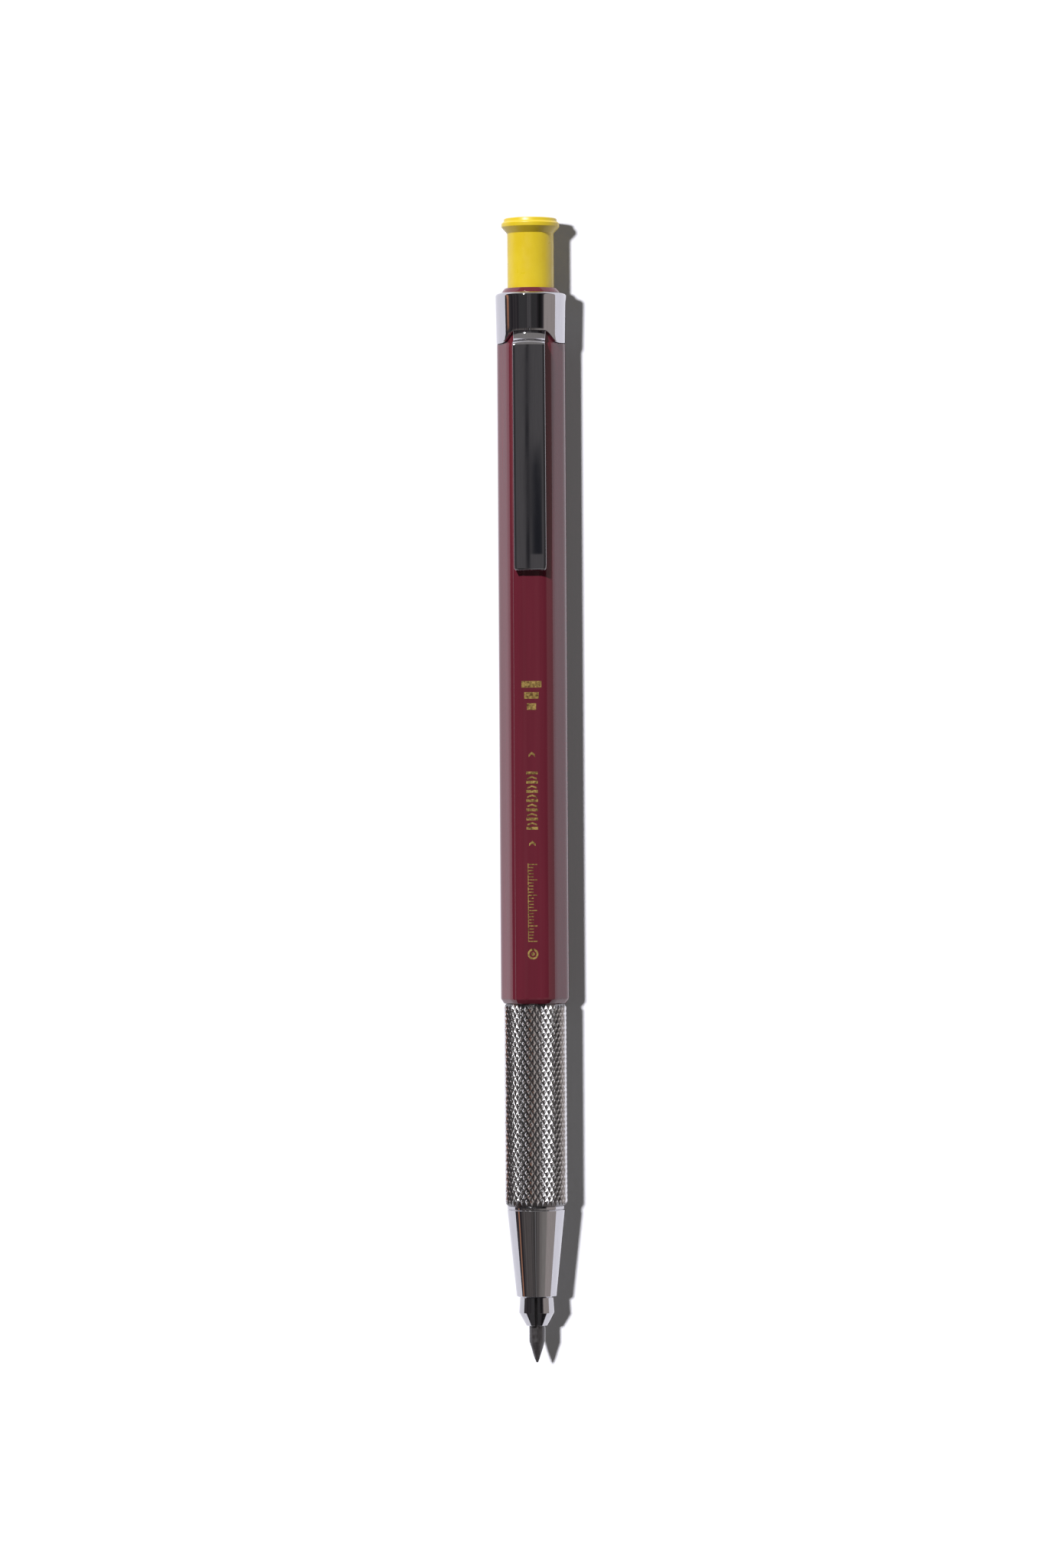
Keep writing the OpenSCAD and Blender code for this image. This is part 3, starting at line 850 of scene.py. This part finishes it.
def clip_section(half, crown, rim):
    """Closed section across the clip as (x, depth below the middle's upper surface)."""
    edge_r = 0.075
    right = [(half * t, crown * t * t) for t in (0.0, 0.25, 0.5, 0.7, 0.82)]
    hub_x, hub_d = half - edge_r, crown + edge_r
    right += [(hub_x + edge_r * math.sin(a), hub_d - edge_r * math.cos(a))
              for a in (math.radians(d) for d in (12, 30, 50, 70, 90))]
    foot = crown + CLIP_T + rim
    right += [(half, foot - 0.12), (half - 0.04, foot - 0.03), (half - 0.12, foot), (half - 0.26, foot),
              (half - 0.36, foot - 0.06), (half - 0.4, crown * 0.7 + CLIP_T + min(rim, 0.05)),
              (half - 0.5, crown * 0.6 + CLIP_T), (half * 0.4, crown * 0.16 + CLIP_T)]
    left = [(-x, d) for x, d in right[1:]]
    return right + [(0.0, CLIP_T)] + left[::-1]


def build_clip():
    """Stamped spring clip: sheet with its long edges folded down, deepest near the turned-down tip."""
    rows = clip_path()
    columns = []
    for i, (at, h, half, crown, rim) in enumerate(rows):
        before, after = rows[max(i - 1, 0)], rows[min(i + 1, len(rows) - 1)]
        along = Vector((before[0] - after[0], before[1] - after[1])).normalized()
        if i == 0:
            along = Vector((1, 0))
        normal = Vector((-along.y, along.x))
        column = []
        for x, depth in clip_section(half, crown, rim):
            spot = Vector((at, h)) - normal * depth
            column.append(world(x, spot.x, spot.y))
        columns.append(column)
    return lofted("stamped_clip", columns, "clip", ["clip_arm"], "chromed_sheet", closed=False, crease=55)


# ---------------------------------------------------------------- tail

STEM_R = 3.03
BUSH_BORE_R = STEM_R + RUN_GAP
COLLAR_R = 3.88
BUTTON_BORE_R = 2.45
POINTER_HOLE_R = 1.25


def build_tail_bush():
    """Bush in the barrel's tail, with a collar that shows around the button."""
    return turned("maroon_collar", [
        (BUSH_FROM, BUSH_BORE_R), (BUSH_FROM, TAIL_BORE_R), (COLLAR_FROM, TAIL_BORE_R),
        (COLLAR_FROM, COLLAR_R), (139.84, COLLAR_R, 0.06),
        (BUSH_TO, 3.46, 0.08), (BUSH_TO, BUSH_BORE_R, 0.05)],
        "holder", ["tail_bush"], "maroon_plastic")


def build_button():
    """Moulded push button: straight stem, flared underside, narrow rim and a stepped, domed top with
    the pointer's hole."""
    top = BUTTON_TOP
    return turned("moulded_button", [
        (BUTTON_FROM, BUTTON_BORE_R), (BUTTON_FROM, STEM_R, 0.12), (top - 2.2, STEM_R, 0.15),
        (top - 1.36, BUTTON_R - 0.005, 0.16), (top - 0.88, BUTTON_R - 0.005, 0.14),
        (top - 0.66, 3.5, 0.06), (top - 0.26, 3.42, 0.14), (top - 0.16, 2.6, 0.3), (top - 0.12, 1.6, 0.3),
        (top - 0.12, POINTER_HOLE_R + 0.05, 0.08), (top - 0.8, POINTER_HOLE_R),
        (top - 0.8, BUTTON_BORE_R)],
        "button", ["push_button"], "yellow_plastic", rounding=7, crease=30)


# ---------------------------------------------------------------- return spring

def build_spring():
    """The real coil, in smooth round wire."""
    front, back = span("return_spring")
    wire, turns, per_turn, sides = 0.18, 12, 40, 10
    middle_r = radius("return_spring") - wire
    columns = []
    for i in range(turns * per_turn + 1):
        angle = TURN * i / per_turn
        at = front + wire + (back - front - 2 * wire) * i / (turns * per_turn)
        loop = []
        for j in range(sides):
            side = TURN * j / sides
            r = middle_r + wire * math.cos(side)
            loop.append(world(r * math.cos(angle), at + wire * math.sin(side), r * math.sin(angle)))
        columns.append(loop)
    piece = lofted("coil_spring", columns, "holder", ["return_spring"], "spring_steel", closed=False)
    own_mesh(piece)
    return piece


# ---------------------------------------------------------------- stage, light and camera

CAMERA_DISTANCE = 0.9
VIEW_HEIGHT = 0.20507
VIEW_MIDDLE = Vector((-0.00147, 0.00075, AXIS_Z))
PENCIL_ROLL = math.radians(3.2)
PENCIL_LEAN = math.radians(0.354)


def build_camera():
    """Straight down on the pencil, turned a few degrees about its axis."""
    data = bpy.data.cameras.new("camera")
    data.sensor_fit = "VERTICAL"
    data.sensor_height = 36
    data.lens = data.sensor_height / 2 * CAMERA_DISTANCE / (VIEW_HEIGHT / 2)
    data.clip_end = 10
    camera = bpy.data.objects.new("camera", data)
    bpy.context.scene.collection.objects.link(camera)
    away = Vector((math.sin(PENCIL_ROLL), 0, math.cos(PENCIL_ROLL)))
    up = Vector((math.sin(PENCIL_LEAN), math.cos(PENCIL_LEAN), 0))
    right = up.cross(away).normalized()
    up = away.cross(right).normalized()
    camera.matrix_world = (Matrix.Translation(VIEW_MIDDLE + away * CAMERA_DISTANCE)
                           @ Matrix((right, up, away)).transposed().to_4x4())
    bpy.context.scene.camera = camera


def build_floor():
    """A large plain white table under the pencil. Its own faint glow keeps the shadow pale."""
    half = 1.6
    corners = [(-half, -half, 0), (half, -half, 0), (half, half, 0), (-half, half, 0)]
    mesh = bpy.data.meshes.new("table")
    mesh.from_pydata(corners, [], [(0, 1, 2, 3)])
    shader = Shader("white_table", (0.245, 0.2435, 0.262), 0.9)
    shader.surface.inputs["Specular IOR Level"].default_value = 0.0
    shader.surface.inputs["Emission Color"].default_value = (1, 1, 1, 1)
    shader.surface.inputs["Emission Strength"].default_value = 0.062
    mesh.materials.append(shader.material)
    table = bpy.data.objects.new("table", mesh)
    table.location.z = cad_bounds[0][2]
    bpy.context.scene.collection.objects.link(table)
    return table


# Towards the lights. The pencil's own key light is low, from the upper left, and the knurl's is beside
# it. The table's is steeper, for a short shadow.
KEY_DIRECTION = Vector((-0.4, 0.8, 1.0)).normalized()
KNURL_KEY_DIRECTION = Vector((-0.26, 0.8, 1.0)).normalized()
TABLE_KEY_DIRECTION = Vector((-0.385, 0.11, 1.0)).normalized()


def sun(name, strength, angle, direction):
    """A sun lamp. angle is how wide it looks, in degrees: a wider one gives softer edges."""
    data = bpy.data.lights.new(name, "SUN")
    data.energy = strength
    data.angle = math.radians(angle)
    light = bpy.data.objects.new(name, data)
    light.rotation_euler = direction.to_track_quat("Z", "Y").to_euler()
    bpy.context.scene.collection.objects.link(light)
    return light


def receivers(light, pieces, state):
    """Makes a light reach only the pieces, or everything but the pieces."""
    group = bpy.data.collections.new(light.name + "_receivers")
    for piece in pieces:
        group.objects.link(piece)
    for member in group.collection_objects:
        member.light_linking.link_state = state
    light.light_linking.receiver_collection = group


def build_light(table, grip):
    """A key light from the upper left, with a wider one for the knurl and one for the table's shadow."""
    receivers(sun("key", 4.5, 3.6, KEY_DIRECTION), [table, grip], "EXCLUDE")
    receivers(sun("knurl_key", 1.45, 35.0, KNURL_KEY_DIRECTION), [grip], "INCLUDE")
    receivers(sun("table_key", 13.2, 4.6, TABLE_KEY_DIRECTION), [table], "INCLUDE")


class Studio:
    """The world's node tree, written as sums and blends of soft-edged patches of sky."""

    def __init__(self):
        world_data = bpy.data.worlds.new("studio")
        bpy.context.scene.world = world_data
        world_data.use_nodes = True
        self.nodes, self.links = world_data.node_tree.nodes, world_data.node_tree.links
        parts = self.nodes.new("ShaderNodeSeparateXYZ")
        self.links.new(self.nodes.new("ShaderNodeTexCoord").outputs["Generated"], parts.inputs["Vector"])
        self.x, self.y = parts.outputs["X"], parts.outputs["Y"]
        self.sky = None

    def feed(self, value, socket):
        if isinstance(value, (int, float)):
            socket.default_value = value
        elif isinstance(value, tuple):
            socket.default_value = (*value, 1)
        else:
            self.links.new(value, socket)

    def maths(self, operation, a, b):
        made = self.nodes.new("ShaderNodeMath")
        made.operation = operation
        self.feed(a, made.inputs[0])
        self.feed(b, made.inputs[1])
        return made.outputs["Value"]

    def rise(self, value, middle, soft):
        """0 below the middle and 1 above it."""
        made = self.nodes.new("ShaderNodeMapRange")
        made.interpolation_type = "SMOOTHSTEP"
        self.feed(value, made.inputs["Value"])
        self.feed(middle - soft, made.inputs["From Min"])
        self.feed(middle + soft, made.inputs["From Max"])
        return made.outputs["Result"]

    def band(self, value, low, high, soft):
        return self.maths("SUBTRACT", self.rise(value, low, soft), self.rise(value, high, soft))

    def streaks(self, scale, detail):
        noise = self.nodes.new("ShaderNodeTexNoise")
        noise.noise_dimensions = "1D"
        noise.inputs["Scale"].default_value = scale
        noise.inputs["Detail"].default_value = detail
        self.links.new(self.x, noise.inputs["W"])
        return noise.outputs["Fac"]

    def blend(self, factor, colour):
        """Lays a colour over the sky so far."""
        mix = self.nodes.new("ShaderNodeMix")
        mix.data_type = "RGBA"
        self.feed(factor, mix.inputs["Factor"])
        self.feed(self.sky, mix.inputs[6])
        self.feed(colour, mix.inputs[7])
        self.sky = mix.outputs[2]


def build_world():
    """Dark studio with a dim ceiling straight above, a pale card to the right, a brighter wall behind
    the button, a brownish glow from the point's side and a narrow warm edge low on the left."""
    studio = Studio()
    x, y = studio.x, studio.y
    point_side = studio.maths("SUBTRACT", studio.rise(y, -0.62, 0.08), studio.rise(y, -0.055, 0.015))
    streaks = studio.rise(studio.streaks(13, 5), 0.5, 0.14)

    # The dark room with its dim ceiling.
    studio.sky = (0.03, 0.027, 0.031)
    studio.blend(studio.maths("MULTIPLY", streaks, 0.6), (0.085, 0.075, 0.077))
    for low, high, tone in ((-0.6, -0.2, 0.06), (0.06, 0.36, 0.05), (0.45, 0.62, 0.014)):
        studio.blend(studio.band(x, low, high, 0.05), (tone, 0.97 * tone, tone))
    studio.blend(studio.band(x, -0.16, 0.06, 0.04), (0.105, 0.1, 0.102))

    # A dark strip over the ceiling's point side, and a thin one beside it.
    towards_point = studio.maths("SUBTRACT", 1.0, studio.rise(y, -0.006, 0.003))
    strip = studio.maths("MULTIPLY", towards_point, studio.band(x, -0.05, -0.02, 0.012))
    studio.blend(strip, (0.022, 0.023, 0.028))
    studio.blend(studio.band(x, -0.064, -0.055, 0.003), (0.03, 0.029, 0.033))

    # The glow from the point's side, with streaks and lines in it.
    glow = studio.maths("MULTIPLY", point_side, studio.rise(x, -0.8, 0.12))
    studio.blend(glow, (0.095, 0.083, 0.079))
    studio.blend(studio.maths("MULTIPLY", glow, streaks), (0.155, 0.14, 0.135))
    for low, high, tone in ((-0.3, -0.27, 0.05), (-0.2, -0.16, 0.04), (-0.1, -0.065, 0.01),
                            (-0.05, 0.0, 0.2), (0.03, 0.06, 0.03), (0.16, 0.19, 0.06)):
        line = studio.maths("MULTIPLY", glow, studio.band(x, low, high, 0.01))
        studio.blend(line, (tone, tone, tone))
    lit_side = studio.maths("MULTIPLY", point_side, studio.rise(x, 0.32, 0.3))
    studio.blend(lit_side, (0.28, 0.262, 0.245))

    # The wall behind the button, the card to the right and the warm edge on the left.
    studio.blend(studio.rise(y, 0.66, 0.12), (0.3, 0.285, 0.275))
    studio.blend(studio.rise(x, 0.72, 0.04), (0.43, 0.385, 0.365))
    near_point = studio.maths("MULTIPLY", studio.band(x, -0.948, -0.925, 0.008), point_side)
    near_button = studio.maths("MULTIPLY", studio.band(x, -0.988, -0.962, 0.006),
                               studio.rise(y, 0.037, 0.004))
    studio.blend(studio.maths("ADD", near_point, near_button), (0.62, 0.29, 0.17))
    studio.links.new(studio.sky, studio.nodes["Background"].inputs["Color"])


# ---------------------------------------------------------------- everything together

paint_cad_nodes()
build_camera()
build_world()
build_barrel()
build_foil()
build_light(build_floor(), build_grip())
build_ring()
build_nose()
for jaw_node, jaw_middle in (("jaw_right", 60), ("jaw_left", -60), ("jaw_lower", 180)):
    build_jaw(jaw_node, jaw_middle)
build_lead()
build_ferrule()
build_clip()
build_tail_bush()
build_button()
build_spring()
bpy.context.scene.view_settings.view_transform = "Standard"
